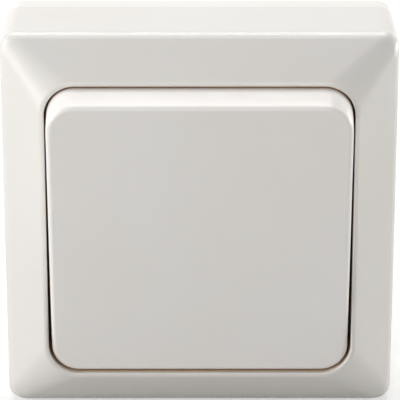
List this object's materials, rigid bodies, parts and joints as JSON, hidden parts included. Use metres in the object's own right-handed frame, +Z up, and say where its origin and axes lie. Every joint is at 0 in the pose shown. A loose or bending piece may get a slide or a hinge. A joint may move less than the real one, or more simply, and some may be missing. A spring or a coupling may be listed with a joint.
{
  "type": "surface-mounted rocker light switch",
  "caption": "Square surface-mounted light switch: deep cover with a bevelled surround, a wide tilting rocker, back plate and change-over contact mechanism inside.",
  "frame": {"origin": "centre of the back plate's rear face, on the wall", "axes": "+Y into the wall, so the front faces -Y; +Z up; +X to the right as seen from the front"},
  "size_m": [0.08, 0.0373, 0.08],
  "materials": {
    "cover_plastic": "semi-gloss off-white moulded plastic",
    "inner_plastic": "plain moulded plastic",
    "socket_plastic": "grey insulating moulding",
    "brass": "stamped brass strip",
    "contact_silver": "silver alloy contact",
    "plated_steel": "zinc-plated",
    "spring_steel": "drawn spring wire"
  },
  "bodies": {
    "housing": {"cover": "cover_plastic", "back_plate": "cover_plastic", "bearing_frame": "inner_plastic", "socket": "socket_plastic", "common_strip": "brass", "upper_strip": "brass", "lower_strip": "brass", "fixed_contact_upper": "contact_silver", "fixed_contact_lower": "contact_silver", "clamp_plate_common": "plated_steel", "clamp_plate_upper": "plated_steel", "clamp_plate_lower": "plated_steel", "terminal_screw_common": "plated_steel", "terminal_screw_upper": "plated_steel", "terminal_screw_lower": "plated_steel", "socket_screw_left": "plated_steel", "socket_screw_right": "plated_steel"},
    "rocker": {"rocker": "cover_plastic", "rocker_carrier": "inner_plastic", "snap_spring": "spring_steel"},
    "plunger": {"plunger": "brass"},
    "seesaw": {"contact_seesaw": "brass", "moving_contact_upper": "contact_silver", "moving_contact_lower": "contact_silver"}
  },
  "joints": [
    {"name": "rocker_tilt", "type": "hinge", "parent": "housing", "child": "rocker", "pos_m": [0, -0.0265, 0], "axis": [-1, 0, 0], "range_deg": [0, 14.48]},
    {"name": "seesaw_tilt", "type": "hinge", "parent": "housing", "child": "seesaw", "pos_m": [0, -0.0075, 0], "axis": [1, 0, 0], "range_deg": [0, 19.2]},
    {"name": "plunger_slide", "type": "slide", "parent": "rocker", "child": "plunger", "axis": [0, -0.992, -0.126], "range_m": [0, 0.0008], "stiffness_N_per_m": 1200, "springref_m": -0.002, "deforming": ["snap_spring"]}
  ],
  "couplings": [
    {"joint": "seesaw_tilt", "follows": "rocker_tilt", "ratio": 1.3259}
  ]
}
